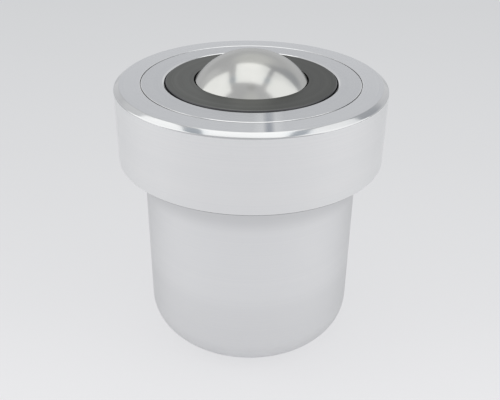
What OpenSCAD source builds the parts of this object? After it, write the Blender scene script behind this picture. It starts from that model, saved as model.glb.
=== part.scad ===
// Spring-loaded ball transfer unit with a drop-in flanged housing.
//
// The load rolls on the main ball, which turns on rows of support balls in a hardened cup.
// The cup, its cap and the balls are one cartridge. It slides in the housing on two nested
// springs, sinks when the load is too high, and is held in by the cover ring.
//
// Millimetres. +Z points up through the ball, and the origin is the centre of the flat base.
// Radial sizes build outwards from the main ball, and heights build upwards from the base.

/* [Main ball and support balls] */
// Diameter of the main ball
ball_d = 38.1; // [34:0.1:42]
// Diameter of one support ball
bead_d = 4.76; // [4.2:0.01:5.2]
// Gap between a support ball and the main ball, and between it and the race
bead_play = 0.04; // [0.02:0.01:0.1]
// Gap between neighbouring rows of support balls
bead_gap = 0.05; // [0.04:0.01:0.2]
// Free height above the top row of support balls
bead_headroom = 0.25; // [0.1:0.05:1]

/* [Load cup] */
// Wall of the cup beside the race
cup_wall = 3.5; // [3:0.1:6]
// Thickness of the cup under the race
cup_floor = 5; // [4:0.1:9]
// Wall of the neck that the cap goes over
neck_wall = 1.6; // [1.2:0.1:2]
// Drain hole at the bottom of the race
drain_d = 3; // [2:0.1:4]
// Bevel round the foot of the cup
cup_bevel = 0.8; // [0.3:0.1:1.2]

/* [Guide bands] */
// Height of a guide band
band_h = 5; // [3:0.1:7]
// Thickness of a guide band
band_t = 1.4; // [1:0.1:1.8]
// Distance of the bands from the foot of the cup and from its neck
band_margin = 3; // [2:0.1:4]
// Radial clearance between a band and the bore
band_clear = 0.05; // [0.02:0.01:0.1]
// Radial and axial clearance of a band in its groove
band_fit = 0.05; // [0.02:0.01:0.1]
// Opening of the split in a band, in degrees
band_split = 3; // [1:0.5:8]

/* [Retaining cap] */
// Height of the skirt that goes over the neck
skirt_h = 7; // [5:0.1:9]
// Thickness of the cap over its shoulder
shoulder_t = 2.09; // [1.5:0.01:4]
// Wall between the wiper pocket and the outside of the cap
pocket_wall = 1.3; // [1.2:0.1:3]
// How far the cap's top stands above the top face
cap_proud = 0.2; // [0:0.05:0.6]
// Gap between the main ball and the cap's spherical opening
ball_gap = 0.36; // [0.15:0.01:0.6]
// Radial clearance of the skirt on the neck
skirt_fit = 0.05; // [0.02:0.01:0.1]
// Bevel on the cap's edges
cap_bevel = 0.25; // [0.1:0.05:0.5]
// Wire of the snap ring between skirt and neck
snap_d = 1.2; // [0.8:0.1:1.4]
// Clearance of the snap ring in its grooves
snap_fit = 0.05; // [0.02:0.01:0.1]
// Opening of the split in the snap ring, in degrees
snap_split = 20; // [10:1:40]

/* [Wiper, keeper and cushion] */
// Thickness of the keeper washer over the support balls
keeper_t = 1; // [0.6:0.1:1.5]
// Reach of the wiper felt beyond the radius of the main ball
felt_reach = 2.95; // [2:0.05:4]
// Height of the wiper felt
felt_h = 3.5; // [2.5:0.1:4.5]
// Gap between the wiper felt and the main ball
felt_gap = 0.1; // [0.05:0.05:0.2]
// Clearance of the wiper felt in its pocket
felt_fit = 0.05; // [0.02:0.01:0.2]
// Thickness of the stop cushion
cushion_t = 1.2; // [0.8:0.1:2]
// Clearance of the stop cushion round the cap
cushion_fit = 0.1; // [0.05:0.05:0.3]

/* [Cover ring] */
// Thickness of the cover ring
ring_t = 4.2; // [3:0.1:8]
// Width of the ledge that the cover ring sits on
ledge_w = 2.65; // [2:0.05:4]
// Gap between the cover ring and the cap
ring_gap = 0.5; // [0.2:0.05:0.8]
// Bevel on both sides of the seam round the cover ring
seam_bevel = 0.1; // [0.1:0.05:0.5]
// Bevel on the edge of the cover ring's bore
ring_bore_bevel = 0.2; // [0.1:0.05:0.8]

/* [Housing] */
// Radial clearance of the cartridge in the bore
slide_clear = 0.21; // [0.1:0.01:0.5]
// Wall of the body round the bore
body_wall = 2.9; // [2.5:0.1:6]
// How far the flange stands out from the body
flange_reach = 7; // [5:0.1:15]
// Height of the flange
flange_h = 21.7; // [12:0.1:30]
// Width of the chamfer round the top of the flange
rim_w = 1.45; // [0.5:0.05:2.5]
// Height of that chamfer
rim_h = 1.05; // [0.5:0.05:2.5]
// Edge break round the underside of the flange
edge_break = 0.4; // [0.2:0.1:1]
// Radius round the foot of the body
foot_r = 10; // [6:0.1:11]
// Thickness of the floor
floor_t = 6; // [5:0.1:10]
// Radius inside, where the bore meets the floor
bore_foot_r = 1.5; // [0.5:0.1:1.5]
// Diameter of the vent hole in the floor
vent_d = 8; // [6:0.1:12]

/* [Springs and their seats] */
// How far the cartridge sinks before it meets the bump stop
travel = 7.5; // [3:0.1:8.2]
// Height between the two spring seats at rest
spring_room = 28.2; // [26:0.1:36]
// Wire of the outer spring
outer_wire = 5; // [4:0.1:5.2]
// Turns of the outer spring, its closed ends counted
outer_turns = 4; // [3.5:0.25:4.25]
// Gap between the outer spring and the bore
spring_side_gap = 2.6; // [2:0.1:4]
// Wire of the inner spring
inner_wire = 3.8; // [3:0.1:4]
// Turns of the inner spring, its closed ends counted
inner_turns = 5.25; // [4.5:0.25:5.5]
// Gap between the two springs
nest_gap = 1.6; // [1:0.1:3]
// Thickness of the lower spring seat
lower_seat_t = 2.5; // [2:0.1:4]
// Thickness of the upper spring seat
upper_seat_t = 3; // [2:0.1:5]
// Wall of the lip round each spring seat
lip_wall = 0.7; // [0.6:0.05:1]
// Height of the lip round each spring seat
lip_h = 1.5; // [1:0.1:3]
// Gap between the outer spring and the lip
lip_gap = 0.3; // [0.2:0.05:0.6]
// Gap between the inner spring and the post inside it
post_gap = 0.4; // [0.2:0.05:1]
// Length of the upper seat's hub
hub_h = 3; // [2:0.1:5]
// Depth of the recess in the cup that takes the upper seat
register_h = 1.2; // [0.8:0.1:2]
// Clearance of the upper seat in its recess
register_fit = 0.1; // [0.05:0.01:0.2]
// Bore through the lower seat's post and the bump stop
post_bore_d = 4; // [3:0.1:5]
// Length of the spigot in the vent hole
spigot_h = 3; // [2:0.1:4]
// Clearance of the spigot in the vent hole
spigot_fit = 0.1; // [0.05:0.01:0.2]

/* [Bump stop] */
// Height of the bump stop
bump_t = 3; // [2:0.1:5]
// Depth of the recess that holds it
bump_seat_h = 1; // [0.5:0.1:1.5]
// Wall of the post round that recess
bump_rim = 1.45; // [1:0.05:3]
// Clearance of the bump stop in its recess
bump_fit = 0.05; // [0.02:0.01:0.2]
// Free height left over the bump stop at the end of the travel
bump_clear = 0.1; // [0.05:0.05:0.5]

/* [Hidden] */
bead_rows = 7;
bead_stagger = 0.37;    // share of its pitch by which each row is turned from the row below

$fn = 128;
bead_fn = 32;
eps = 0.01;

// Radii, from the main ball outwards
ball_r = ball_d / 2;
bead_r = bead_d / 2;
shell_r = ball_r + bead_play + bead_r;      // centres of the support balls
race_r = shell_r + bead_r + bead_play;
neck_r = race_r + neck_wall;
cup_r = race_r + cup_wall;
bore_r = cup_r + slide_clear;
body_r = bore_r + body_wall;
flange_r = body_r + flange_reach;
felt_r = ball_r + felt_reach;
cap_r = felt_r + pocket_wall;
ring_bore_r = cap_r + ring_gap;
ring_r = bore_r + ledge_w;
skirt_r = neck_r + skirt_fit;

// Radii of the springs and their seats, from the bore inwards
outer_coil_r = bore_r - spring_side_gap - outer_wire / 2;
inner_coil_r = outer_coil_r - outer_wire / 2 - nest_gap - inner_wire / 2;
post_r = inner_coil_r - inner_wire / 2 - post_gap;
lip_r = outer_coil_r + outer_wire / 2 + lip_gap;
seat_r = lip_r + lip_wall;
bump_r = post_r - bump_rim;

// Heights, from the base upwards
lower_seat_z = floor_t + lower_seat_t;      // where the springs stand
upper_seat_z = lower_seat_z + spring_room;  // where they press
cup_z = upper_seat_z + upper_seat_t - register_h;
ball_z = cup_z + cup_floor + race_r;
row_pitch = 2 * asin((bead_d + bead_gap) / 2 / shell_r);
cup_top_z = ball_z - shell_r * cos(bead_rows * row_pitch) + bead_r + bead_headroom;
cap_plate_z = cup_top_z + keeper_t;         // underside of the cap, over the keeper washer
shoulder_z = cap_plate_z + shoulder_t;
ledge_z = shoulder_z + cushion_t;
top_z = ledge_z + ring_t;
cap_top_z = top_z + cap_proud;
neck_z = cup_top_z - skirt_h;
flange_z = top_z - flange_h;
hub_z = upper_seat_z - hub_h;
post_z = hub_z - travel - bump_clear - bump_t + bump_seat_h;
lower_band_z = cup_z + band_margin;
upper_band_z = neck_z - band_margin - band_h;
snap_z = neck_z + skirt_h / 2;

// A ring with a rectangular section
module ring(outer, inner, z, h)
    translate([0, 0, z])
        difference() {
            cylinder(r = outer, h = h);
            translate([0, 0, -1]) cylinder(r = inner, h = h + 2);
        }

// A wire ring, whole or split
module wire_ring(r, wire, z, split = 0)
    translate([0, 0, z])
        rotate([0, 0, split / 2])
            rotate_extrude(angle = 360 - split)
                translate([r, 0]) circle(d = wire, $fn = 48);

// Section of a cylinder whose lower edge is rounded
module round_foot_section(r, h, foot) {
    translate([0, foot]) square([r, h - foot]);
    square([r - foot, h]);
    translate([r - foot, foot]) circle(r = foot);
}

// Height of a coil's centre line, with its closed end turns, at turn u
function end_rise(u, turns, wire, height) =
    lookup(u, [[0, wire / 4], [0.7, wire / 2], [1, 1.3 * wire], [turns / 2, height / 2]]);
function coil_z(u, turns, wire, height) =
    u <= turns / 2 ? end_rise(u, turns, wire, height)
                   : height - end_rise(turns - u, turns, wire, height);

// Compression spring with closed, ground ends; hand is 1 for right and -1 for left
module coil_spring(r, wire, turns, height, hand, sides, steps_per_turn) {
    steps = round(turns * steps_per_turn);
    points = [
        for (i = [0 : steps]) for (k = [0 : sides - 1])
            let (turn = turns * i / steps,
                 section = 360 * k / sides,
                 reach = r + wire / 2 * cos(section),
                 rise = coil_z(turn, turns, wire, height) + wire / 2 * sin(section))
            [reach * cos(360 * turn), hand * reach * sin(360 * turn), max(0, min(height, rise))]
    ];
    skin = [
        for (i = [0 : steps - 1]) for (k = [0 : sides - 1])
            let (a = i * sides + k,
                 b = i * sides + (k + 1) % sides)
            each [[a, b, b + sides], [a, b + sides, a + sides]]
    ];
    crown = round(sides / 4);
    foot = round(sides * 3 / 4);
    first_end = [for (k = [0 : sides - 1]) (crown + sides - k) % sides];
    last_end = [for (k = [0 : sides - 1]) steps * sides + (foot + k) % sides];
    faces = concat(skin, [first_end, last_end]);
    polyhedron(points, hand > 0 ? faces : [for (f = faces) [for (j = [len(f) - 1 : -1 : 0]) f[j]]]);
}

module housing()
    color("gainsboro")
        difference() {
            rotate_extrude() {
                round_foot_section(body_r, flange_z + eps, foot_r);
                translate([0, flange_z])
                    polygon([[0, 0], [flange_r - edge_break, 0], [flange_r, edge_break],
                             [flange_r, flange_h - rim_h], [flange_r - rim_w, flange_h],
                             [0, flange_h]]);
            }
            translate([0, 0, floor_t])
                rotate_extrude() round_foot_section(bore_r, top_z, bore_foot_r);
            translate([0, 0, ledge_z]) cylinder(r = ring_r, h = top_z);
            translate([0, 0, top_z - seam_bevel])
                cylinder(r1 = ring_r, r2 = ring_r + 2 * seam_bevel, h = 2 * seam_bevel);
            translate([0, 0, -1]) cylinder(d = vent_d, h = floor_t + 2);
        }

module cover_ring()
    color("gainsboro")
        rotate_extrude()
            polygon([[ring_bore_r, ledge_z], [ring_r, ledge_z], [ring_r, top_z - seam_bevel],
                     [ring_r - seam_bevel, top_z], [ring_bore_r + ring_bore_bevel, top_z],
                     [ring_bore_r, top_z - ring_bore_bevel]]);

module lower_spring_seat()
    color("slategray")
        rotate_extrude()
            polygon([[post_bore_d / 2, floor_t - spigot_h], [vent_d / 2 - spigot_fit, floor_t - spigot_h],
                     [vent_d / 2 - spigot_fit, floor_t], [seat_r, floor_t],
                     [seat_r, lower_seat_z + lip_h], [lip_r, lower_seat_z + lip_h],
                     [lip_r, lower_seat_z], [post_r, lower_seat_z],
                     [post_r, post_z], [bump_r, post_z],
                     [bump_r, post_z - bump_seat_h], [post_bore_d / 2, post_z - bump_seat_h]]);

module bump_stop()
    color("dimgray")
        ring(bump_r - bump_fit, post_bore_d / 2, post_z - bump_seat_h, bump_t);

module outer_spring()
    color("darkgray")
        translate([0, 0, lower_seat_z])
            coil_spring(outer_coil_r, outer_wire, outer_turns, spring_room,
                        hand = 1, sides = 12, steps_per_turn = 30);

module inner_spring()
    color("darkgray")
        translate([0, 0, lower_seat_z])
            coil_spring(inner_coil_r, inner_wire, inner_turns, spring_room,
                        hand = -1, sides = 10, steps_per_turn = 26);

module upper_spring_seat()
    color("slategray")
        rotate_extrude()
            polygon([[drain_d / 2, hub_z], [post_r, hub_z],
                     [post_r, upper_seat_z], [lip_r, upper_seat_z],
                     [lip_r, upper_seat_z - lip_h], [seat_r, upper_seat_z - lip_h],
                     [seat_r, upper_seat_z + upper_seat_t], [drain_d / 2, upper_seat_z + upper_seat_t]]);

// Groove for a guide band round the cup
module band_groove(z)
    ring(cup_r + 1, cup_r + band_fit - band_t, z - band_fit, band_h + 2 * band_fit);

module load_cup()
    color("darkgray")
        difference() {
            rotate_extrude()
                polygon([[0, cup_z], [cup_r - cup_bevel, cup_z], [cup_r, cup_z + cup_bevel],
                         [cup_r, neck_z], [neck_r, neck_z],
                         [neck_r, cup_top_z], [0, cup_top_z]]);
            translate([0, 0, ball_z]) sphere(r = race_r);
            translate([0, 0, ball_z]) cylinder(r = race_r, h = cup_top_z);
            translate([0, 0, cup_z - 1]) cylinder(r = seat_r + register_fit, h = register_h + 1);
            translate([0, 0, cup_z]) cylinder(d = drain_d, h = cup_floor + bead_r);
            band_groove(lower_band_z);
            band_groove(upper_band_z);
            wire_ring(neck_r + skirt_fit / 2, snap_d, snap_z);
        }

// Split guide band that stands out of its groove and runs in the housing
module guide_band(z)
    color("darkolivegreen")
        translate([0, 0, z])
            rotate([0, 0, band_split / 2])
                rotate_extrude(angle = 360 - band_split)
                    translate([cup_r + 2 * band_fit - band_t, 0])
                        square([bore_r - band_clear - cup_r - 2 * band_fit + band_t, band_h]);

module lower_guide_band() guide_band(lower_band_z);

module upper_guide_band() guide_band(upper_band_z);

module retaining_cap()
    color("dimgray")
        difference() {
            rotate_extrude()
                polygon([[0, neck_z], [cup_r, neck_z],
                         [cup_r, shoulder_z - cap_bevel], [cup_r - cap_bevel, shoulder_z],
                         [cap_r, shoulder_z], [cap_r, cap_top_z - cap_bevel],
                         [cap_r - cap_bevel, cap_top_z], [0, cap_top_z]]);
            translate([0, 0, neck_z - 1]) cylinder(r = skirt_r, h = cap_plate_z - neck_z + 1);
            translate([0, 0, neck_z]) cylinder(r = felt_r, h = cap_plate_z + felt_h - neck_z);
            translate([0, 0, ball_z]) sphere(r = ball_r + ball_gap);
            wire_ring(neck_r + skirt_fit / 2, snap_d, snap_z);
        }

module cap_snap_ring()
    color("silver")
        wire_ring(neck_r + skirt_fit / 2, snap_d - 2 * snap_fit, snap_z, snap_split);

module keeper_washer()
    color("silver")
        ring(neck_r, ball_r + ball_gap, cup_top_z, keeper_t);

module wiper_felt()
    color("wheat")
        difference() {
            translate([0, 0, cap_plate_z]) cylinder(r = felt_r - felt_fit, h = felt_h);
            translate([0, 0, ball_z]) sphere(r = ball_r + felt_gap);
        }

module stop_cushion()
    color("black")
        ring(cup_r, cap_r + cushion_fit, shoulder_z, cushion_t);

module support_ball_centre()
    color("silver")
        translate([0, 0, ball_z - shell_r]) sphere(r = bead_r, $fn = bead_fn);

// One row of support balls; the rows are counted from the ball at the pole of the cup
module support_balls_row(row) {
    row_r = shell_r * sin(row * row_pitch);
    row_z = ball_z - shell_r * cos(row * row_pitch);
    count = floor(180 / asin((bead_r + eps / 2) / row_r));
    color("silver")
        for (i = [0 : count - 1])
            rotate([0, 0, 360 * (i + bead_stagger * row) / count])
                translate([row_r, 0, row_z]) sphere(r = bead_r, $fn = bead_fn);
}

module main_ball()
    color("silver")
        translate([0, 0, ball_z]) sphere(r = ball_r);

housing();
cover_ring();
lower_spring_seat();
bump_stop();
outer_spring();
inner_spring();
upper_spring_seat();
load_cup();
lower_guide_band();
upper_guide_band();
retaining_cap();
cap_snap_ring();
keeper_washer();
wiper_felt();
stop_cushion();
support_ball_centre();
for (row = [1 : bead_rows])
    support_balls_row(row);
main_ball();
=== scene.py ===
"""Looks of a spring-loaded ball transfer unit with a drop-in flanged housing.

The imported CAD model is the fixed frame. The pieces that meet the eye are turned again on finer
lathe profiles, the springs are wound again from round wire, and every piece of the unit gets a
procedural finish of its own. Lengths are in metres. +Z points up through the main ball, and the
flat base stands on z = 0.
"""

from __future__ import annotations

import logging
import math
from collections.abc import Callable, Iterable, Mapping, Sequence
from dataclasses import dataclass, field, replace
from enum import Enum

import bmesh
import bpy
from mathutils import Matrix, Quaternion, Vector


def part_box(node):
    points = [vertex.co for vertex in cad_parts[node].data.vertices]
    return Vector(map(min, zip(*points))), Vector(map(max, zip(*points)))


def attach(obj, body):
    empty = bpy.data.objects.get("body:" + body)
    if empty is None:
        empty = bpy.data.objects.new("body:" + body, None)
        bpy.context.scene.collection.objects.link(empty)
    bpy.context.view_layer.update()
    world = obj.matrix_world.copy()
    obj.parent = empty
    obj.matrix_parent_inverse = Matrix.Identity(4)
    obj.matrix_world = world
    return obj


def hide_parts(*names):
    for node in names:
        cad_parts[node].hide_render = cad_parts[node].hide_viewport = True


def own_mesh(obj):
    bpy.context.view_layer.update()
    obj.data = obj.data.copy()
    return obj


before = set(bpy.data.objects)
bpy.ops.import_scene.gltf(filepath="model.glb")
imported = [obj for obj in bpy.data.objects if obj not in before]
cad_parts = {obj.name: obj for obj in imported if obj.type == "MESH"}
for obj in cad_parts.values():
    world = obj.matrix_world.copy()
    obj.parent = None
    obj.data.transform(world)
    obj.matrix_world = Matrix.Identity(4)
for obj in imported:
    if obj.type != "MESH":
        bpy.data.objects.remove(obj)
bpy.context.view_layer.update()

LOG = logging.getLogger("ball_transfer_unit")
MM = 0.001
FULL_TURN = 2 * math.pi
WELD = 1e-6  # points nearer than this are one point
LEVEL = 0.95  # a face counts as level where its normal points up or down by more than this
ACROSS_THE_LINES = 0.25  # the part of a turn that lays highlights across a tool's lines

Colour = tuple[float, float, float]
Piece = bpy.types.Object
Settings = Mapping[str, object]
Inputs = Mapping[str | int, object]

BLACK: Colour = (0.0, 0.0, 0.0)


# --- Shader maths ---


class Signal:
    """A value on a shader socket that takes part in plain arithmetic."""

    def __init__(self, graph: Graph, socket: bpy.types.NodeSocket) -> None:
        """Wrap a socket.

        Args:
            graph: The node graph that the socket belongs to.
            socket: An output socket.
        """
        self.graph = graph
        self.socket = socket

    def _math(self, operation: str, *terms: Signal | float) -> Signal:
        """Add one Math node.

        Args:
            operation: The node's operation.
            *terms: Its inputs in order.

        Returns:
            The result.
        """
        inputs = dict(enumerate(terms))
        return self.graph.value("Math", {"operation": operation}, inputs)

    def __add__(self, other: Signal | float) -> Signal:
        """Sum."""
        return self._math("ADD", self, other)

    __radd__ = __add__

    def __sub__(self, other: Signal | float) -> Signal:
        """Difference."""
        return self._math("SUBTRACT", self, other)

    def __rsub__(self, other: Signal | float) -> Signal:
        """Difference, reflected."""
        return self._math("SUBTRACT", other, self)

    def __mul__(self, other: Signal | float) -> Signal:
        """Product."""
        return self._math("MULTIPLY", self, other)

    __rmul__ = __mul__

    def __abs__(self) -> Signal:
        """Size without sign."""
        return self._math("ABSOLUTE", self)

    def span(self, other: Signal) -> Signal:
        """Length of the diagonal over this value and another."""
        return self._math("SQRT", self * self + other * other)

    def angle_from(self, other: Signal) -> Signal:
        """Angle in radians whose tangent is this value over the other one."""
        return self._math("ARCTAN2", self, other)

    def least(self, other: Signal | float) -> Signal:
        """The smaller of two values."""
        return self._math("MINIMUM", self, other)

    def most(self, other: Signal | float) -> Signal:
        """The larger of two values."""
        return self._math("MAXIMUM", self, other)

    def ramp(self, start: float, end: float) -> Signal:
        """Smooth step from 0 at start to 1 at end.

        Args:
            start: Value at which the result leaves 0. It may be above end.
            end: Value at which the result reaches 1.

        Returns:
            The mask.
        """
        if start > end:
            return 1.0 - self.ramp(end, start)
        settings = {"interpolation_type": "SMOOTHSTEP"}
        inputs = {"Value": self, "From Min": start, "From Max": end}
        return self.graph.value("MapRange", settings, inputs)


class Graph:
    """The node tree of a material or of the world, filled from Python expressions."""

    def __init__(self, tree: bpy.types.NodeTree) -> None:
        """Start on a cleared node tree.

        Args:
            tree: The tree to fill.
        """
        self.tree = tree
        tree.nodes.clear()

    def node(
        self, kind: str, settings: Settings | None = None, inputs: Inputs | None = None
    ) -> bpy.types.Node:
        """Add any node.

        Args:
            kind: The node's type, without the "ShaderNode" before it.
            settings: Its properties, set before its inputs.
            inputs: Values or signals by socket name or place.

        Returns:
            The node.
        """
        node = self.tree.nodes.new(f"ShaderNode{kind}")
        for key, value in (settings or {}).items():
            setattr(node, key, value)
        for key, value in (inputs or {}).items():
            if isinstance(value, Signal):
                self.tree.links.new(value.socket, node.inputs[key])
            else:
                node.inputs[key].default_value = value
        return node

    def value(
        self,
        kind: str,
        settings: Settings | None = None,
        inputs: Inputs | None = None,
        output: str | int = 0,
    ) -> Signal:
        """Add any node and take one of its outputs.

        Args:
            kind: The node's type, as for node.
            settings: Its properties.
            inputs: Values or signals by socket name or place.
            output: Name or place of the output.

        Returns:
            The output as a signal.
        """
        return Signal(self, self.node(kind, settings, inputs).outputs[output])

    def place(self) -> Signal:
        """Object coordinates, in metres."""
        return self.value("TexCoord", output="Object")

    def axes(self, vector: Signal) -> tuple[Signal, Signal, Signal]:
        """Split a vector.

        Args:
            vector: The vector.

        Returns:
            Its x, y and z.
        """
        split = self.node("SeparateXYZ", inputs={0: vector})
        return tuple(Signal(self, output) for output in split.outputs)

    def noise(
        self,
        at: Signal,
        scale: float,
        detail: float = 2.0,
        rough: float = 0.5,
        distortion: float = 0.0,
        dimensions: str = "3D",
    ) -> Signal:
        """Fractal noise round 0.5.

        Args:
            at: Position, or one number where dimensions is 1D.
            scale: Cells to the metre.
            detail: Octaves.
            rough: Share that each octave keeps.
            distortion: How far the noise is dragged about.
            dimensions: 1D or 3D.

        Returns:
            The noise.
        """
        where = "W" if dimensions == "1D" else "Vector"
        inputs = {where: at, "Scale": scale, "Detail": detail, "Roughness": rough, "Distortion": distortion}
        return self.value("TexNoise", {"noise_dimensions": dimensions}, inputs)

    def vector(self, x: Signal | float, y: Signal | float, z: Signal | float) -> Signal:
        """Join three numbers into a vector.

        Args:
            x: First number.
            y: Second number.
            z: Third number.

        Returns:
            The vector.
        """
        return self.value("CombineXYZ", inputs={0: x, 1: y, 2: z})

    def blend(self, mask: Signal, low: Colour | Signal, high: Colour | Signal) -> Signal:
        """Mix two colours.

        Args:
            mask: 0 gives low and 1 gives high.
            low: First colour.
            high: Second colour.

        Returns:
            The mixed colour.
        """
        first, second = (c if isinstance(c, Signal) else (*c, 1.0) for c in (low, high))
        inputs = {"Factor": mask, 6: first, 7: second}
        return self.value("Mix", {"data_type": "RGBA"}, inputs, output=2)

    def bump(self, height: Signal, depth: float) -> Signal:
        """Normal from a height.

        Args:
            height: Height from 0 to 1.
            depth: Depth in metres that a height of 1 stands for.

        Returns:
            The normal.
        """
        inputs = {"Height": height, "Distance": depth, "Strength": 1.0}
        return self.value("Bump", inputs=inputs)


# --- Finishes ---


class Lay(Enum):
    """Which way a tool's lines follow each other over a surface."""

    UP_THE_SIDE = "side"
    OUT_OVER_THE_FACE = "face"
    DOWN_THE_CONE = "cone"
    EVERY_WAY = "every"


@dataclass(frozen=True)
class Finish:
    """A surface finish that becomes one material."""

    name: str

    def material(self) -> bpy.types.Material:
        """The finish's material, made on first use.

        Returns:
            The material.
        """
        made = bpy.data.materials.get(self.name)
        if made is None:
            made = bpy.data.materials.new(self.name)
            made.use_nodes = True
            graph = Graph(made.node_tree)
            shader = self.paint(graph)
            graph.node("OutputMaterial", inputs={"Surface": shader})
        return made

    def paint(self, graph: Graph) -> Signal:
        """Fill the material's graph.

        Args:
            graph: The graph to fill.

        Returns:
            The shader.
        """
        raise NotImplementedError


@dataclass(frozen=True)
class PaintedReflectionStreak:
    """A painted reflection over the front of a face: a straight dark streak, standing for a dark object
    mirrored there, between two painted highlights.
    """

    x: float = 4.3 * MM
    start: tuple[float, float] = (-20.0 * MM, -24.0 * MM)
    outer_part: tuple[float, float] = (-25.0 * MM, -34.0 * MM)
    dark: Colour = (0.36, 0.385, 0.43)
    dark_edge: tuple[float, float] = (1.5 * MM, 0.1 * MM)
    dark_share: float = 0.55
    dark_gain_outside: float = 0.35
    bright: Colour = (0.86, 0.87, 0.88)
    bright_outer_edge: tuple[float, float] = (4.2 * MM, 1.9 * MM)
    bright_inner_edge: tuple[float, float] = (0.9 * MM, 1.7 * MM)
    bright_share: float = 0.33

    def over(self, graph: Graph, x: Signal, y: Signal, colour: Signal) -> Signal:
        """Lay the streaks over a colour.

        Args:
            graph: The material's graph.
            x: Place across the streaks.
            y: Place along them, falling towards the front.
            colour: The colour under them.

        Returns:
            The colour with the streaks.
        """
        aside = abs(x - self.x)
        in_front = y.ramp(*self.start)
        outside = y.ramp(*self.outer_part)
        bright = aside.ramp(*self.bright_outer_edge) * aside.ramp(*self.bright_inner_edge) * in_front
        dark = aside.ramp(*self.dark_edge) * in_front
        colour = graph.blend(bright * self.bright_share, colour, self.bright)
        return graph.blend(dark * (self.dark_share + self.dark_gain_outside * outside), colour, self.dark)


@dataclass(frozen=True)
class PaintedShadeBand:
    """A painted shade band round a turned side: the colour darkened where shade falls, under the flange and
    low on the body.
    """

    height: float
    reach: float
    share: float
    colour: Colour = (0.30, 0.30, 0.31)

    def over(self, graph: Graph, z: Signal, cloud: Signal, colour: Signal) -> Signal:
        """Lay the band over a colour.

        Args:
            graph: The material's graph.
            z: Height.
            cloud: Noise that makes the band uneven.
            colour: The colour under it.

        Returns:
            The colour with the band.
        """
        band = abs(z - self.height).ramp(self.reach, 0.25 * self.reach)
        return graph.blend(band * (self.share * (0.9 + 0.2 * cloud)), colour, self.colour)


@dataclass(frozen=True)
class TurnedMetal(Finish):
    """Metal with the fine rings that a lathe tool leaves, softly clouded."""

    colour: Colour
    tint: Colour
    roughness: float = 0.3
    spread: float = 0.12
    lay: Lay = Lay.UP_THE_SIDE
    pitch: float = 0.3 * MM
    depth: float = 0.8e-6
    stretch: float = 0.5
    grazing: float = 1.0
    lines_a_band: float = 9.0
    clouds_a_metre: float = 70.0
    grains_a_metre: float = 2600.0
    # Painted shade bands: the side darkened at given heights where shade falls.
    painted_shade_bands: tuple[PaintedShadeBand, ...] = ()
    # Painted reflection: a dark streak between two painted highlights.
    painted_streak: PaintedReflectionStreak | None = None
    # Painted shade on the right side of a face, and where it fades in across x.
    painted_side_shade: float = 0.0
    painted_shade_edge: tuple[float, float] = (-6.0 * MM, 16.0 * MM)

    def paint(self, graph: Graph) -> Signal:
        """Fill the material's graph.

        Args:
            graph: The graph to fill.

        Returns:
            The shader.
        """
        place = graph.place()
        x, y, z = graph.axes(place)
        radius = x.span(y)
        across = {
            Lay.UP_THE_SIDE: z,
            Lay.OUT_OVER_THE_FACE: radius,
            Lay.DOWN_THE_CONE: radius - z,
            Lay.EVERY_WAY: radius + z,
        }[self.lay]
        lines = graph.noise(across, 1 / self.pitch, detail=2.0, rough=0.7, dimensions="1D")
        bands = graph.noise(across, 1 / (self.lines_a_band * self.pitch), detail=1.0, dimensions="1D")
        cloud = graph.noise(place, self.clouds_a_metre, detail=3.0, rough=0.6)
        grain = graph.noise(place, self.grains_a_metre, detail=2.0)
        mixed = 0.5 * lines + 0.3 * bands + 0.2 * cloud
        colour = graph.blend(mixed.ramp(0.34, 0.66), self.tint, self.colour)
        rough = self.roughness + self.spread * (
            (cloud - 0.5) * 1.1 + (bands - 0.5) * 0.7 + (lines - 0.5) * 0.5 + (grain - 0.5) * 0.5
        )
        # Lay the painted shade bands over the metal's colour.
        for shade_band in self.painted_shade_bands:
            colour = shade_band.over(graph, z, cloud, colour)
        # Painted shade: the right side darkened, as where less light falls.
        if self.painted_side_shade:
            colour = graph.blend(x.ramp(*self.painted_shade_edge) * self.painted_side_shade, colour, BLACK)
        # Lay the painted reflection streak and its painted highlights over the colour.
        if self.painted_streak is not None:
            colour = self.painted_streak.over(graph, x, y, colour)
        inputs = {
            "Base Color": colour,
            "Metallic": 1.0,
            "Roughness": rough.most(0.03),
            "Anisotropic": self.stretch,
            "Anisotropic Rotation": ACROSS_THE_LINES,
            "Specular Tint": (self.grazing, self.grazing, self.grazing, 1.0),
            "Normal": graph.bump(0.7 * lines + 0.3 * grain, self.depth),
        }
        return graph.value("BsdfPrincipled", inputs=inputs)


@dataclass(frozen=True)
class BallMirror(Finish):
    """Ground and lapped ball steel, mirror bright with hairlines every way."""

    colour: Colour = (0.56, 0.56, 0.545)
    tint: Colour = (0.535, 0.535, 0.52)
    roughness: float = 0.17
    spread: float = 0.04
    hazes_a_metre: float = 90.0
    swirls_a_metre: float = 900.0
    hairline: float = 0.012
    hairline_gloss: float = 0.03
    grazing: float = 0.85
    depth: float = 0.15e-6
    centre: tuple[float, float, float] = (0.0, 0.0, 0.0)

    def paint(self, graph: Graph) -> Signal:
        """Fill the material's graph.

        Args:
            graph: The graph to fill.

        Returns:
            The shader.
        """
        place = graph.place()
        shift = [-c for c in self.centre]
        about = graph.value("Mapping", inputs={"Vector": place, "Location": shift})
        haze = graph.noise(about, self.hazes_a_metre, detail=4.0, rough=0.6)
        swirl = graph.noise(about, self.swirls_a_metre, detail=3.0, rough=0.75, distortion=2.5)
        hairline = abs(swirl - 0.5).ramp(self.hairline, 0.0)
        colour = graph.blend(haze.ramp(0.35, 0.65), self.tint, self.colour)
        rough = self.roughness + self.spread * (haze - 0.5) + self.hairline_gloss * hairline
        inputs = {
            "Base Color": colour,
            "Metallic": 1.0,
            "Roughness": rough.most(0.02),
            "Specular Tint": (self.grazing, self.grazing, self.grazing, 1.0),
            "Normal": graph.bump(0.6 * swirl - 0.4 * hairline, self.depth),
        }
        return graph.value("BsdfPrincipled", inputs=inputs)


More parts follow.
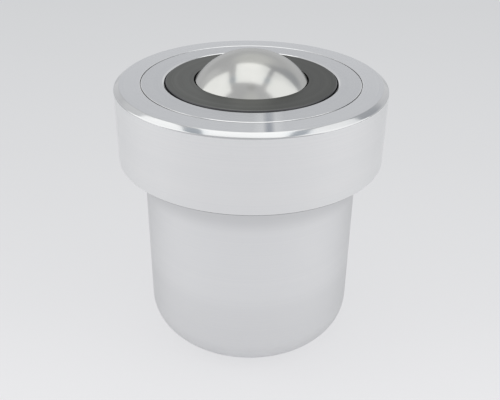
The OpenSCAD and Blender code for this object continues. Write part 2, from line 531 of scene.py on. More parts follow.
@dataclass(frozen=True)
class DrawnWire(Finish):
    """Oil-tempered spring wire, scaled and drawn."""

    colour: Colour = (0.30, 0.29, 0.28)
    tint: Colour = (0.16, 0.155, 0.15)
    roughness: float = 0.38
    scales_a_metre: float = 260.0
    draws_a_metre: float = 3600.0
    draw_turn: float = 1.8
    depth: float = 3.0e-6

    def paint(self, graph: Graph) -> Signal:
        """Fill the material's graph.

        Args:
            graph: The graph to fill.

        Returns:
            The shader.
        """
        place = graph.place()
        x, y, z = graph.axes(place)
        radius = x.span(y)
        scale = graph.noise(place, self.scales_a_metre, detail=5.0, rough=0.65)
        turn = x.angle_from(y) * (self.draw_turn / self.draws_a_metre)
        fine = graph.noise(graph.vector(radius, z, turn), self.draws_a_metre, detail=3.0)
        colour = graph.blend(scale.ramp(0.38, 0.62), self.tint, self.colour)
        rough = self.roughness + 0.25 * (scale - 0.5) + 0.12 * (fine - 0.5)
        inputs = {
            "Base Color": colour,
            "Metallic": 1.0,
            "Roughness": rough.most(0.1),
            "Normal": graph.bump(0.6 * fine + 0.4 * scale, self.depth),
        }
        return graph.value("BsdfPrincipled", inputs=inputs)


@dataclass(frozen=True)
class PressedFelt(Finish):
    """Dense wool felt with short matted fibres and a little oil."""

    colour: Colour = (0.52, 0.47, 0.38)
    tint: Colour = (0.33, 0.29, 0.22)
    fibres_a_metre: float = 2200.0
    oil_a_metre: float = 140.0
    nap: float = 60.0e-6

    def paint(self, graph: Graph) -> Signal:
        """Fill the material's graph.

        Args:
            graph: The graph to fill.

        Returns:
            The shader.
        """
        place = graph.place()
        fibres = graph.noise(place, self.fibres_a_metre, detail=4.0, rough=0.7, distortion=1.6)
        oil = graph.noise(place, self.oil_a_metre, detail=3.0)
        mask = (0.7 * fibres + 0.3 * oil).ramp(0.36, 0.64)
        inputs = {
            "Base Color": graph.blend(mask, self.tint, self.colour),
            "Roughness": 0.95 - 0.3 * oil.ramp(0.5, 0.75),
            "Sheen Weight": 0.35,
            "Sheen Roughness": 0.5,
            "Normal": graph.bump(fibres, self.nap),
        }
        return graph.value("BsdfPrincipled", inputs=inputs)


@dataclass(frozen=True)
class MouldedStock(Finish):
    """Moulded rubber or bearing plastic with a fine grain and scuffs."""

    colour: Colour = (0.03, 0.03, 0.032)
    tint: Colour = (0.05, 0.05, 0.052)
    roughness: float = 0.55
    grains_a_metre: float = 1800.0
    scuffs_a_metre: float = 120.0
    depth: float = 8.0e-6

    def paint(self, graph: Graph) -> Signal:
        """Fill the material's graph.

        Args:
            graph: The graph to fill.

        Returns:
            The shader.
        """
        place = graph.place()
        grain = graph.noise(place, self.grains_a_metre, detail=3.0, rough=0.6)
        scuff = graph.noise(place, self.scuffs_a_metre, detail=5.0, rough=0.7)
        inputs = {
            "Base Color": graph.blend(scuff.ramp(0.4, 0.68), self.colour, self.tint),
            "Roughness": (self.roughness + 0.35 * (scuff - 0.5) + 0.1 * (grain - 0.5)).most(0.2),
            "Specular IOR Level": 0.45,
            "Normal": graph.bump(0.7 * grain + 0.3 * scuff, self.depth),
        }
        return graph.value("BsdfPrincipled", inputs=inputs)


# --- Modelling ---


@dataclass(frozen=True)
class Spot:
    """Where a face is and how it faces, in the terms of a lathe."""

    radius: float
    height: float
    outward: float
    upward: float


@dataclass(frozen=True)
class Zone:
    """Part of a piece's surface that has a finish of its own."""

    finish: Finish
    covers: Callable[[Spot], bool]


@dataclass(frozen=True)
class Corner:
    """Corner of a lathe profile."""

    radius: float
    height: float
    round_off: float = 0.0
    steps: int = 3

    @property
    def place(self) -> Vector:
        """The corner's place in the XZ plane."""
        return Vector((self.radius, 0.0, self.height))


class Bench:
    """Modelling moves that every piece shares, made with Blender's operators."""

    smooth_below: float = math.radians(24.0)
    lathe_steps: int = 256

    @staticmethod
    def clear() -> None:
        """Leave edit mode and deselect everything."""
        active = bpy.context.view_layer.objects.active
        if active is not None and active.mode != "OBJECT":
            bpy.ops.object.mode_set(mode="OBJECT")
        bpy.ops.object.select_all(action="DESELECT")

    @staticmethod
    def pick(corners: Iterable[Corner]) -> None:
        """Select the vertices at some corners in edit mode and deselect the rest.

        Args:
            corners: Corners of the profile that is being drawn.
        """
        bpy.ops.mesh.select_mode(type="VERT")
        mesh = bpy.context.object.data
        shape = bmesh.from_edit_mesh(mesh)
        places = [corner.place for corner in corners]
        for part in (*shape.faces, *shape.edges, *shape.verts):
            part.select_set(False)
        for vertex in shape.verts:
            vertex.select_set(any((vertex.co - place).length < WELD for place in places))
        shape.select_flush_mode()
        bmesh.update_edit_mesh(mesh)

    @classmethod
    def heal(cls) -> None:
        """Merge doubles, point the faces outwards and smooth what isn't a sharp edge.

        The large faces keep their own normals, and the narrow ones between them take up the turn.
        """
        bpy.ops.mesh.select_all(action="SELECT")
        bpy.ops.mesh.remove_doubles(threshold=WELD)
        bpy.ops.mesh.normals_make_consistent(inside=False)
        bpy.ops.object.mode_set(mode="OBJECT")
        bpy.ops.object.shade_smooth_by_angle(angle=cls.smooth_below)
        bpy.ops.object.modifier_add(type="WEIGHTED_NORMAL")
        weigh = bpy.context.object.modifiers[-1]
        weigh.keep_sharp = True
        weigh.weight = 100
        bpy.ops.object.modifier_apply(modifier=weigh.name)

    @staticmethod
    def settle(name: str) -> Piece:
        """Name the active piece and put its place into its mesh.

        Args:
            name: The piece's name.

        Returns:
            The piece.
        """
        piece = bpy.context.object
        piece.name = piece.data.name = name
        bpy.ops.object.transform_apply(location=True, rotation=True, scale=True)
        return piece

    @classmethod
    def turn(cls, name: str, corners: Sequence[Corner]) -> Piece:
        """Turn a closed profile round the Z axis.

        Args:
            name: The piece's name.
            corners: The profile's corners in order.

        Returns:
            The piece.
        """
        cls.clear()
        bpy.ops.mesh.primitive_plane_add(size=MM, location=corners[0].place)
        piece = cls.settle(name)
        bpy.ops.object.mode_set(mode="EDIT")
        bpy.ops.mesh.select_mode(type="VERT")
        bpy.ops.mesh.select_all(action="SELECT")
        bpy.ops.mesh.merge(type="CENTER")
        for here, there in zip(corners, corners[1:]):
            bpy.ops.mesh.extrude_vertices_move(TRANSFORM_OT_translate={"value": there.place - here.place})
        cls.pick((corners[0], corners[-1]))
        bpy.ops.mesh.edge_face_add()
        for round_off, arc in sorted({(c.round_off, c.steps) for c in corners if c.round_off}):
            cls.pick(c for c in corners if (c.round_off, c.steps) == (round_off, arc))
            bpy.ops.mesh.bevel(
                offset_type="OFFSET", offset=round_off, segments=arc, affect="VERTICES", clamp_overlap=False
            )
        bpy.ops.mesh.select_all(action="SELECT")
        bpy.ops.mesh.spin(steps=cls.lathe_steps, angle=FULL_TURN, center=(0, 0, 0), axis=(0, 0, 1))
        cls.heal()
        return piece

    @staticmethod
    def dress(piece: Piece, finish: Finish, zones: Sequence[Zone] = ()) -> None:
        """Give a piece its finish, and its zones theirs.

        Args:
            piece: The piece.
            finish: Finish of every face that no zone covers.
            zones: Finishes of some of the faces, the first that covers a face first.
        """
        mesh = piece.data
        mesh.materials.clear()
        for paint in (finish, *(zone.finish for zone in zones)):
            mesh.materials.append(paint.material())
        for face in mesh.polygons:
            centre, normal = face.center, face.normal
            radius = math.hypot(centre.x, centre.y)
            outward = (centre.x * normal.x + centre.y * normal.y) / radius if radius > WELD else 0.0
            spot = Spot(radius, centre.z, outward, normal.z)
            for index, zone in enumerate(zones):
                if zone.covers(spot):
                    face.material_index = index + 1
                    break

    @staticmethod
    def fit(piece: Piece, body: str, slot: str, node: str) -> Piece:
        """Let a piece ride on a body in place of a CAD node.

        Args:
            piece: The piece.
            body: The CAD body that it moves with.
            slot: The record's material slot of its finish; not used.
            node: The CAD node that it stands for.

        Returns:
            The piece.
        """
        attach(piece, body)
        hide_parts(node)
        return piece


def report(piece: Piece) -> None:
    """Log one finished piece.

    Args:
        piece: The piece.
    """
    size = [round(float(side) / MM, 2) for side in piece.dimensions]
    LOG.info("%s: %d faces, %s mm", piece.name, len(piece.data.polygons), size)


# --- The unit's finishes ---

SATIN_PLATE = TurnedMetal(
    "satin_plate",
    colour=(0.84, 0.84, 0.845),
    tint=(0.82, 0.823, 0.83),
    roughness=0.55,
    spread=0.05,
    pitch=0.45 * MM,
    depth=0.15e-6,
    stretch=0.4,
)
FACED_PLATE = TurnedMetal(
    "faced_plate",
    colour=(0.683, 0.692, 0.71),
    tint=(0.645, 0.655, 0.68),
    roughness=0.22,
    spread=0.06,
    lay=Lay.OUT_OVER_THE_FACE,
    pitch=0.35 * MM,
    depth=0.3e-6,
    stretch=0.4,
    # Painted reflection on the front of the top face: a dark streak with a painted highlight on each side.
    painted_streak=PaintedReflectionStreak(),
)
# The foot's face, without the painted reflection streak.
FACED_FOOT = replace(FACED_PLATE, name="faced_foot", painted_streak=None)
FACED_RING = replace(
    FACED_PLATE, name="faced_ring", colour=(0.618, 0.628, 0.647), tint=(0.578, 0.588, 0.612)
)
BURNISHED_EDGE = TurnedMetal(
    "burnished_edge",
    colour=(0.82, 0.82, 0.825),
    tint=(0.74, 0.745, 0.755),
    roughness=0.14,
    spread=0.05,
    lay=Lay.DOWN_THE_CONE,
    pitch=0.2 * MM,
    depth=0.1e-6,
    stretch=0.3,
)
BRIGHT_CHAMFER = replace(
    BURNISHED_EDGE,
    name="bright_chamfer",
    colour=(0.645, 0.65, 0.655),
    tint=(0.605, 0.61, 0.62),
    roughness=0.12,
    spread=0.06,
    depth=0.2e-6,
    stretch=0.6,
)
SATIN_BODY = replace(
    SATIN_PLATE,
    name="satin_body",
    colour=(0.85, 0.852, 0.86),
    tint=(0.832, 0.835, 0.845),
    grazing=0.62,
    # Painted shade: the body darkened just under the flange and, more faintly, towards the foot, where
    # shade falls.
    painted_shade_bands=(PaintedShadeBand(54.0 * MM, 7.5 * MM, 0.19), PaintedShadeBand(15.0 * MM, 14.0 * MM, 0.06)),
)
# Flange underside: rough-turned, with a dark tone that is painted shade for the shade under the flange,
# which shows in the body below it.
ROUGH_SHADED_FACE = TurnedMetal(
    "rough_face_painted_shade",
    colour=(0.24, 0.245, 0.255),
    tint=(0.19, 0.195, 0.205),
    roughness=0.42,
    lay=Lay.OUT_OVER_THE_FACE,
    pitch=0.35 * MM,
    depth=1.5e-6,
)
HONED_BORE = TurnedMetal(
    "honed_bore",
    colour=(0.62, 0.62, 0.63),
    tint=(0.52, 0.52, 0.53),
    roughness=0.24,
    pitch=0.25 * MM,
    depth=0.6e-6,
)
BLACKENED_FACE = TurnedMetal(
    "blackened_face",
    colour=(0.190, 0.194, 0.188),
    tint=(0.145, 0.149, 0.144),
    roughness=0.34,
    lay=Lay.OUT_OVER_THE_FACE,
    stretch=0.1,
    grazing=0.65,
    # Painted shade: the cap's face darker on its right side.
    painted_side_shade=0.25,
)
BLACKENED_SIDE = TurnedMetal(
    "blackened_side",
    colour=(0.12, 0.12, 0.125),
    tint=(0.085, 0.085, 0.09),
    roughness=0.38,
    spread=0.14,
    stretch=0.4,
)
MACHINED_SIDE = TurnedMetal(
    "machined_side",
    colour=(0.50, 0.49, 0.475),
    tint=(0.40, 0.39, 0.375),
    roughness=0.32,
    spread=0.16,
    depth=1.2e-6,
)
MACHINED_FACE = replace(MACHINED_SIDE, name="machined_face", lay=Lay.OUT_OVER_THE_FACE)
GROUND_END = replace(MACHINED_FACE, name="ground_end", roughness=0.24)
HARDENED_CUP = TurnedMetal(
    "hardened_cup",
    colour=(0.36, 0.355, 0.36),
    tint=(0.25, 0.245, 0.255),
    spread=0.18,
    lay=Lay.EVERY_WAY,
    pitch=0.35 * MM,
    depth=1.0e-6,
    stretch=0.3,
)
LAPPED_MAIN_BALL = BallMirror("lapped_main_ball")
LAPPED_BALLS = BallMirror(
    "lapped_balls", colour=(0.58, 0.58, 0.59), tint=(0.5, 0.5, 0.51), roughness=0.07, spread=0.05
)
SPRING_WIRE = DrawnWire("spring_wire")
SNAP_WIRE = DrawnWire("snap_wire", colour=(0.42, 0.42, 0.43), tint=(0.25, 0.25, 0.26), roughness=0.3)
WIPER_FELT = PressedFelt("wiper_wool")
GUIDE_STOCK = MouldedStock(
    "guide_stock", colour=(0.10, 0.13, 0.08), tint=(0.15, 0.18, 0.12), roughness=0.42, depth=3.0e-6
)
BUMP_RUBBER = MouldedStock("bump_rubber")


# --- Sub-assemblies ---


@dataclass
class Housing:
    """The turned body with its flange, and the ring that is pressed into it round the cap.

    Each break and gap is given as its width and its drop, or as the radius of its round. The last
    three numbers say how far a face leans inwards, down or up before it counts as doing so.
    """

    body_radius: float = 30.5 * MM
    flange_radius: float = 37.485 * MM
    bore_radius: float = 27.6 * MM
    seam_radius: float = 30.25 * MM
    ring_bore_radius: float = 23.8 * MM
    vent_radius: float = 4.0 * MM
    foot_radius: float = 10.0 * MM
    bore_foot: float = 1.5 * MM
    floor: float = 6.0 * MM
    ledge: float = 4.2 * MM
    rim_width: float = 1.45 * MM
    rim_height: float = 1.05 * MM
    rim_crown: float = 0.02 * MM
    rim_foot: float = 0.20 * MM
    edge_break: float = 0.4 * MM
    seam_break: tuple[float, float] = (0.19 * MM, 0.093 * MM)
    seam_gap: float = 0.10 * MM
    seam_depth: float = 0.9 * MM
    bore_break: tuple[float, float] = (0.52 * MM, 0.28 * MM)
    flange_height: float = 21.7 * MM
    vent_round: float = 0.3 * MM
    floor_round: float = 0.2 * MM
    light_round: float = 0.1 * MM
    bore_round: float = 0.15 * MM
    seam_round: float = 0.03 * MM
    crown_round: float = 0.5 * MM
    rim_top_round: float = 0.12 * MM
    margin: float = 0.01 * MM
    inward: float = -0.2
    downward: float = -0.6
    upward: float = 0.2
    top: float = field(init=False)

    def __post_init__(self) -> None:
        """Take the height of the top face from the frame."""
        self.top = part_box("housing")[1].z

    def build(self) -> list[Piece]:
        """Turn and dress the housing and the cover ring.

        Returns:
            The pieces.
        """
        return [self._shell(), self._cover_ring()]

    def _shell(self) -> Piece:
        """Turn the body and flange in one piece.

        Returns:
            The piece.
        """
        body, flange, bore, seam = self.body_radius, self.flange_radius, self.bore_radius, self.seam_radius
        top, ledge, under = self.top, self.top - self.ledge, self.top - self.flange_height
        rim_foot, rim_top = top - self.rim_height, flange - self.rim_width
        slant = math.hypot(self.rim_width, self.rim_height)
        crown_radius = flange - self.rim_width / 2 + self.rim_crown * self.rim_height / slant
        crown_height = top - self.rim_height / 2 + self.rim_crown * self.rim_width / slant
        gap = seam + self.seam_gap
        seam_width, seam_drop = self.seam_break
        corners = [
            Corner(self.vent_radius, 0.0, self.vent_round, 3),
            Corner(body, 0.0, self.foot_radius, 18),
            Corner(body, under),
            Corner(flange - self.edge_break, under, self.light_round, 2),
            Corner(flange, under + self.edge_break, self.light_round, 2),
            Corner(flange, rim_foot, self.rim_foot, 4),
            Corner(crown_radius, crown_height, self.crown_round, 5),
            Corner(rim_top, top, self.rim_top_round, 3),
            Corner(gap + seam_width, top),
            Corner(gap, top - seam_drop, self.seam_round, 2),
            Corner(gap, top - self.seam_depth),
            Corner(seam, top - self.seam_depth - self.seam_gap),
            Corner(seam, ledge),
            Corner(bore, ledge, self.bore_round, 2),
            Corner(bore, self.floor, self.bore_foot, 6),
            Corner(self.vent_radius, self.floor, self.floor_round, 2),
        ]
        piece = Bench.turn("housing_shell", corners)
        inner, foot = rim_top - self.rim_top_round / 2, rim_foot - self.rim_foot
        zones = [
            Zone(BRIGHT_CHAMFER, lambda s: s.height > foot and s.radius > inner),
            Zone(BURNISHED_EDGE, lambda s: s.height > top - seam_drop and s.radius < gap + seam_width),
            Zone(HONED_BORE, lambda s: s.radius < gap + self.margin and s.outward < self.inward),
            # Flange underside: rough turning, darkened as painted shade.
            Zone(ROUGH_SHADED_FACE, lambda s: s.upward < self.downward and s.height > self.foot_radius),
            Zone(FACED_FOOT, lambda s: s.upward < -LEVEL),
            Zone(FACED_PLATE, lambda s: s.upward > LEVEL),
            Zone(SATIN_BODY, lambda s: s.radius < body + self.margin),
        ]
        Bench.dress(piece, SATIN_PLATE, zones)
        return Bench.fit(piece, "housing", "plated_steel", "housing")

    def _cover_ring(self) -> Piece:
        """Turn the ring that closes the housing and holds the cartridge in.

        Returns:
            The piece.
        """
        top, ledge, bore = self.top, self.top - self.ledge, self.ring_bore_radius
        gap = self.seam_radius - self.seam_gap
        seam_width, seam_drop = self.seam_break
        corners = [
            Corner(bore, ledge, self.bore_round, 2),
            Corner(self.seam_radius, ledge, self.bore_round, 2),
            Corner(self.seam_radius, top - self.seam_depth - self.seam_gap),
            Corner(gap, top - self.seam_depth),
            Corner(gap, top - seam_drop, self.seam_round, 2),
            Corner(gap - seam_width, top),
            Corner(bore + self.bore_break[0], top),
            Corner(bore, top - self.bore_break[1], self.light_round, 3),
        ]
        piece = Bench.turn("cover_ring_turned", corners)
        zones = [
            Zone(FACED_RING, lambda s: abs(s.upward) > LEVEL),
            Zone(BURNISHED_EDGE, lambda s: s.upward > self.upward),
        ]
        Bench.dress(piece, HONED_BORE, zones)
        return Bench.fit(piece, "housing", "plated_steel", "cover_ring")


class Hand(Enum):
    """Which way a spring is wound."""

    RIGHT = 1
    LEFT = -1


@dataclass
class Spring:
    """A compression spring of round wire with closed, ground ends."""

    node: str
    wire: float
    turns: float
    hand: Hand
    travel: float = 7.5 * MM
    flat_turns: float = 0.7
    first_pitch: float = 1.3
    points_a_turn: int = 48
    section_steps: int = 8
    relief: float = 0.02 * MM

    def build(self) -> Piece:
        """Wind the spring, grind its ends and dress it.

        Returns:
            The piece.
        """
        low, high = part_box(self.node)
        height = high.z - low.z
        Bench.clear()
        bpy.ops.curve.primitive_nurbs_path_add(location=(0, 0, 0))
        path = bpy.context.object.data
        path.dimensions = "3D"
        path.twist_mode = "Z_UP"
        path.bevel_depth = self.wire / 2
        path.bevel_resolution = self.section_steps
        path.use_fill_caps = True
        spline = path.splines[0]
        spline.type = "POLY"
        steps = round(self.turns * self.points_a_turn)
        spline.points.add(steps + 1 - len(spline.points))
        reach = high.x - self.wire / 2
        for step, point in enumerate(spline.points):
            turn = step / self.points_a_turn
            angle = self.hand.value * turn * FULL_TURN
            level = low.z + self._rise(turn, height)
            point.co = (reach * math.cos(angle), reach * math.sin(angle), level, 1.0)
        bpy.ops.object.convert(target="MESH")
        piece = Bench.settle(f"{self.node}_wound")
        bpy.ops.object.mode_set(mode="EDIT")
        bpy.ops.mesh.select_all(action="SELECT")
        bpy.ops.mesh.remove_doubles(threshold=WELD)
        grinds = ((low.z, "clear_inner"), (high.z - self.relief, "clear_outer"))
        for level, side in grinds:
            bpy.ops.mesh.select_all(action="SELECT")
            cut = {"plane_no": (0, 0, 1), "use_fill": True, "threshold": WELD, side: True}
            bpy.ops.mesh.bisect(plane_co=(0, 0, level), **cut)
        Bench.heal()
        ground = Zone(GROUND_END, lambda s: any(abs(s.height - level) < WELD for level, _ in grinds))
        Bench.dress(piece, SPRING_WIRE, [ground])
        Bench.fit(piece, "housing", "spring_steel", self.node)
        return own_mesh(piece)

    def _rise(self, turn: float, height: float) -> float:
        """Height of the wire's centre line above the spring's foot.

        Args:
            turn: Turns from the lower end.
            height: Height of the whole spring.

        Returns:
            The height.
        """
        if turn > self.turns / 2:
            return height - self._rise(self.turns - turn, height)
        stops = [
            (0.0, self.wire / 4),
            (self.flat_turns, self.wire / 2),
            (1.0, self.first_pitch * self.wire),
            (self.turns / 2, height / 2),
        ]
        (first, low), (last, high) = next(pair for pair in zip(stops, stops[1:]) if turn <= pair[1][0])
        return low + (high - low) * (turn - first) / (last - first)


@dataclass
class SpringNest:
    """The two nested springs of opposite hand, the seat under them and the bump stop."""

    outer: Spring = field(default_factory=lambda: Spring("outer_spring", 5.0 * MM, 4.0, Hand.RIGHT))
    inner: Spring = field(default_factory=lambda: Spring("inner_spring", 3.8 * MM, 5.25, Hand.LEFT))

    def build(self) -> list[Piece]:
        """Wind and dress the springs, and dress the seat and the bump stop.

        Returns:
            The new pieces.
        """
        dress_node("lower_spring_seat", MACHINED_SIDE)
        dress_node("bump_stop", BUMP_RUBBER)
        return [self.outer.build(), self.inner.build()]


@dataclass
class Cartridge:
    """The blackened cap over the load cup, with what slides up and down with it."""

    outer_radius: float = 27.39 * MM
    disc_radius: float = 23.5 * MM
    skirt_radius: float = 25.54 * MM
    pocket_radius: float = 22.0 * MM
    rim_round: float = 0.45 * MM
    shoulder_round: float = 0.25 * MM
    foot_round: float = 0.1 * MM
    ball_gap: float = 0.36 * MM
    pocket_height: float = 3.5 * MM
    shoulder: float = 2.09 * MM
    opening_steps: int = 8
    flat_from: float = 0.8

    def build(self) -> list[Piece]:
        """Turn and dress the cap, and dress the CAD pieces under it.

        Returns:
            The new pieces.
        """
        for node, finish in {
            "load_cup": HARDENED_CUP,
            "upper_spring_seat": MACHINED_SIDE,
            "lower_guide_band": GUIDE_STOCK,
            "upper_guide_band": GUIDE_STOCK,
            "cap_snap_ring": SNAP_WIRE,
            "keeper_washer": MACHINED_FACE,
            "wiper_felt": WIPER_FELT,
            "stop_cushion": BUMP_RUBBER,
        }.items():
            dress_node(node, finish)
        return [self._cap()]

    def _cap(self) -> Piece:
        """Turn the retaining cap with its spherical opening.

        Returns:
            The piece.
        """
        foot, crown = (corner.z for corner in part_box("retaining_cap"))
        ball_foot, ball_crown = (corner.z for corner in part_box("main_ball"))
        ball = (ball_foot + ball_crown) / 2
        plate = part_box("keeper_washer")[1].z
        shoulder, pocket_roof = plate + self.shoulder, plate + self.pocket_height
        reach = (ball_crown - ball_foot) / 2 + self.ball_gap
        low, high = (math.asin((level - ball) / reach) for level in (pocket_roof, crown))
        step = (high - low) / self.opening_steps
        angles = [low + step * count for count in range(self.opening_steps + 1)]
        corners = [
            *(Corner(reach * math.cos(angle), ball + reach * math.sin(angle)) for angle in angles),
            Corner(self.disc_radius, crown, self.rim_round, 6),
            Corner(self.disc_radius, shoulder),
            Corner(self.outer_radius, shoulder, self.shoulder_round, 3),
            Corner(self.outer_radius, foot, self.foot_round, 2),
            Corner(self.skirt_radius, foot, self.foot_round, 2),
            Corner(self.skirt_radius, plate),
            Corner(self.pocket_radius, plate),
            Corner(self.pocket_radius, pocket_roof),
        ]
        piece = Bench.turn("retaining_cap_turned", corners)
        Bench.dress(piece, BLACKENED_SIDE, [Zone(BLACKENED_FACE, lambda s: abs(s.upward) > self.flat_from)])
        return Bench.fit(piece, "cartridge", "blackened_steel", "retaining_cap")


@dataclass
class SupportBalls:
    """The small balls in the cup, as the frame holds them."""

    stem: str = "support_ball"

    def build(self) -> list[Piece]:
        """Dress every row.

        Returns:
            No new pieces.
        """
        for node in sorted(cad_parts):
            if node.startswith(self.stem):
                dress_node(node, LAPPED_BALLS)
        return []


@dataclass
class MainBall:
    """The load-carrying ball."""

    cuts: int = 55

    def build(self) -> list[Piece]:
        """Round a divided cube into the ball and dress it.

        Returns:
            The piece.
        """
        low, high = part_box("main_ball")
        centre, radius = (low + high) / 2, (high.z - low.z) / 2
        Bench.clear()
        bpy.ops.mesh.primitive_cube_add(size=2 * radius / math.sqrt(3), location=centre)
        bpy.ops.object.mode_set(mode="EDIT")
        bpy.ops.mesh.select_all(action="SELECT")
        bpy.ops.mesh.subdivide(number_cuts=self.cuts)
        bpy.ops.transform.tosphere(value=1.0)
        bpy.ops.mesh.normals_make_consistent(inside=False)
        bpy.ops.object.mode_set(mode="OBJECT")
        ball = bpy.context.object
        ball.scale *= radius / max(vertex.co.length for vertex in ball.data.vertices)
        piece = Bench.settle("main_ball_lapped")
        bpy.ops.object.shade_smooth()
        Bench.dress(piece, replace(LAPPED_MAIN_BALL, centre=tuple(centre)))
        return [Bench.fit(piece, "main_ball", "polished_ball", "main_ball")]


def dress_node(node: str, finish: Finish) -> None:
    """Give a CAD node that stays in view its finish.

    Args:
        node: The node's name.
        finish: The finish.
    """
    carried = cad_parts[node]
    if not carried.material_slots:
        carried.data.materials.append(finish.material())
    for slot in carried.material_slots:
        slot.material = finish.material()
    LOG.info("%s: %s", node, finish.name)


# --- Stage, light and camera ---


@dataclass(frozen=True)
class FloorPaint(Finish):
    """Matt pale floor that gets a little darker towards the back.

    Part of it is an even glow where it is seen directly, and a smaller part where it shows in metal
    or through glass, so that the shadow stays light.
    """

    near: Colour = (0.824, 0.824, 0.839)
    far: Colour = (0.641, 0.648, 0.661)
    glow: float = 0.8
    glow_in_metal: float = 0.4
    shades: tuple[tuple[float, float], ...] = (
        (-0.15, 1.10),
        (-0.04, 1.0),
        (0.0, 0.76),
        (0.035, 0.60),
        (0.07, 0.48),
        (0.12, 0.36),
        (0.19, 0.25),
        (0.28, 0.13),
        (0.40, 0.02),
    )

    def paint(self, graph: Graph) -> Signal:
        """Fill the material's graph.

        Args:
            graph: The graph to fill.

        Returns:
            The shader.
        """
        _, y, _ = graph.axes(graph.place())
        first, last = self.shades[0][0], self.shades[-1][0]
        along = graph.value("MapRange", inputs={"Value": y, "From Min": first, "From Max": last})
        colour = graph.value("ValToRGB", inputs={0: along})
        stops = colour.socket.node.color_ramp.elements
        while len(stops) < len(self.shades):
            stops.new(1.0)
        for stop, (place, share) in zip(stops, self.shades):
            stop.position = (place - first) / (last - first)
            stop.color = (*(low + (high - low) * share for low, high in zip(self.far, self.near)), 1.0)
        inputs = {"Base Color": colour, "Roughness": 0.9, "Specular IOR Level": 0.1}
        matt = graph.value("BsdfPrincipled", inputs=inputs)
        even = graph.value("Emission", inputs={"Color": colour, "Strength": 1.0})
        camera, glossy, through = (
            graph.value("LightPath", output=f"Is {kind} Ray")
            for kind in ("Camera", "Glossy", "Transmission")
        )
        share = (camera * self.glow + (glossy + through) * self.glow_in_metal).least(self.glow)
        return graph.value("MixShader", inputs={0: share, 1: matt, 2: even})


def aloft(azimuth: float, elevation: float) -> Vector:
    """Unit vector towards a direction as seen from the stage.

    Args:
        azimuth: Degrees from the back, growing to the right.
        elevation: Degrees above the floor.

    Returns:
        The vector.
    """
    turn, rise = math.radians(azimuth), math.radians(elevation)
    return Vector((math.sin(turn) * math.cos(rise), math.cos(turn) * math.cos(rise), math.sin(rise)))


def facing(away: Vector, roll: float) -> Quaternion:
    """Turn of a lamp or camera that looks back along a direction.

    Args:
        away: Direction from the target to it.
        roll: Degrees by which it is rolled.

    Returns:
        The turn.
    """
    return away.to_track_quat("Z", "Y") @ Quaternion((0, 0, 1), math.radians(roll))


@dataclass(frozen=True)
class Softbox:
    """A rectangular lamp, placed by its direction as seen from the ball.

    Its radiance adds to that of the room behind it.
    """

    name: str
    azimuth: float
    elevation: float
    width: float
    height: float
    radiance: float
    roll: float
    distance: float = 3.0
    colour: Colour = (1.0, 1.0, 0.97)

    def hang(self, target: Vector) -> None:
        """Put the lamp up, facing the target.

        Args:
            target: Where the lamp points.
        """
        away = aloft(self.azimuth, self.elevation)
        lamp = bpy.data.lights.new(self.name, "AREA")
        lamp.shape = "RECTANGLE"
        lamp.size = self.width * self.distance
        lamp.size_y = self.height * self.distance
        lamp.energy = self.radiance * math.pi * lamp.size * lamp.size_y
        lamp.color = self.colour
        holder = bpy.data.objects.new(self.name, lamp)
        bpy.context.scene.collection.objects.link(holder)
        holder.location = target + away * self.distance
        holder.rotation_mode = "QUATERNION"
        holder.rotation_quaternion = facing(away, self.roll)


@dataclass(frozen=True)
class Shade:
    """A soft round patch of the room's walls that has a tone of its own."""

    azimuth: float
    elevation: float
    reach: float
    colour: Colour

    def over(self, graph: Graph, direction: Signal, walls: Signal) -> Signal:
        """Lay the patch over the walls.

        Args:
            graph: The world's graph.
            direction: Direction of view.
            walls: Colour of the walls so far.

        Returns:
            Colour of the walls with the patch.
        """
        inputs = {0: direction, 1: aloft(self.azimuth, self.elevation)}
        near = graph.value("VectorMath", {"operation": "DOT_PRODUCT"}, inputs, output="Value")
        reach = math.radians(self.reach)
        return graph.blend(near.ramp(math.cos(reach), math.cos(reach / 4)), walls, self.colour)


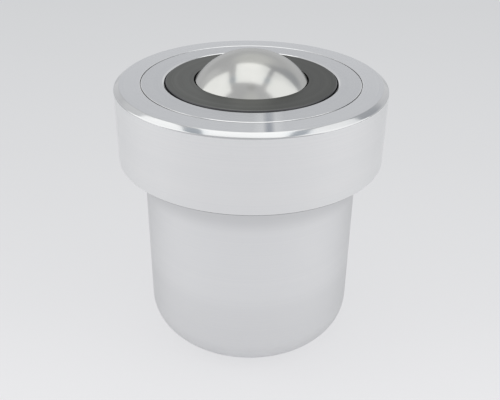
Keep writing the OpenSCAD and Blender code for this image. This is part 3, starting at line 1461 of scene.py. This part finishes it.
@dataclass
class Studio:
    """Pale floor, soft lamps, even surroundings and the camera."""

    lamp_aim: tuple[float, float, float] = (0.0, 0.0, 67.6 * MM)
    floor_size: float = 12.0
    lens: float = 50.96
    aim: tuple[float, float, float] = (0.0, 0.0, 40.42 * MM)
    distance: float = 213.04 * MM
    pitch: float = 29.35
    roll: float = 0.648
    lamps: tuple[Softbox, ...] = (
        Softbox("overhead_softbox", -0.2, 80.0, 0.73, 0.755, 0.78, roll=-9.6),
        Softbox("left_softbox", -87.5, 32.3, 0.80, 1.045, 0.73, roll=-1.7),
        Softbox("right_softbox", 94.3, 34.5, 0.915, 1.155, 0.66, roll=-6.2),
    )
    low_walls: Colour = (0.755, 0.76, 0.77)
    high_walls: Colour = (0.705, 0.71, 0.72)
    wall_turn: tuple[float, float] = (0.26, 0.42)
    shades: tuple[Shade, ...] = (
        Shade(56.0, 33.0, 20.0, (0.50, 0.515, 0.54)),
        Shade(50.0, 56.0, 19.0, (0.50, 0.51, 0.53)),
        Shade(-88.0, 65.0, 9.0, (0.56, 0.60, 0.64)),
        Shade(92.0, 68.0, 9.0, (0.56, 0.60, 0.64)),
        Shade(-28.0, 27.0, 18.0, (0.66, 0.665, 0.675)),
        Shade(3.0, 47.0, 24.0, (0.85, 0.855, 0.84)),
        Shade(-53.0, 30.0, 15.0, (0.82, 0.825, 0.83)),
        Shade(180.0, 71.0, 8.0, (0.58, 0.585, 0.58)),
        Shade(180.0, 52.0, 15.0, (0.79, 0.795, 0.785)),
    )

    def build(self) -> None:
        """Set everything up."""
        self._lay_floor()
        self._hang_lamps()
        self._tint_surroundings()
        self._aim_camera()
        bpy.context.scene.view_settings.view_transform = "Standard"

    def _lay_floor(self) -> None:
        """Lay the floor under the base."""
        Bench.clear()
        bpy.ops.mesh.primitive_grid_add(x_subdivisions=8, y_subdivisions=8, size=self.floor_size)
        floor = Bench.settle("studio_floor")
        floor.data.materials.append(FloorPaint("floor_paint").material())

    def _hang_lamps(self) -> None:
        """Hang the overhead lamp and the two side lamps."""
        for lamp in self.lamps:
            lamp.hang(Vector(self.lamp_aim))

    def _tint_surroundings(self) -> None:
        """Give the room round the stage an even cool grey with a few soft patches."""
        world = bpy.data.worlds.new("studio_room")
        bpy.context.scene.world = world
        world.use_nodes = True
        graph = Graph(world.node_tree)
        direction = graph.value("TexCoord", output="Generated")
        _, _, up = graph.axes(direction)
        room = graph.blend(up.ramp(*self.wall_turn), self.low_walls, self.high_walls)
        for shade in self.shades:
            room = shade.over(graph, direction, room)
        shader = graph.value("Background", inputs={"Color": room, "Strength": 1.0})
        graph.node("OutputWorld", inputs={"Surface": shader})

    def _aim_camera(self) -> None:
        """Place the camera in front of the unit, above it and looking down."""
        pitch = math.radians(self.pitch)
        away = Vector((0.0, -math.cos(pitch), math.sin(pitch)))
        lens = bpy.data.cameras.new("studio_camera")
        lens.lens = self.lens
        lens.clip_start = 10 * MM
        camera = bpy.data.objects.new("studio_camera", lens)
        bpy.context.scene.collection.objects.link(camera)
        camera.location = Vector(self.aim) + away * self.distance
        camera.rotation_euler = facing(away, self.roll).to_euler()
        bpy.context.scene.camera = camera


def main() -> None:
    """Build every sub-assembly, then the studio."""
    logging.basicConfig(level=logging.INFO, format="%(message)s")
    for assembly in (Housing(), SpringNest(), Cartridge(), SupportBalls(), MainBall()):
        for piece in assembly.build():
            report(piece)
    Studio().build()


if __name__ == "__main__":
    main()
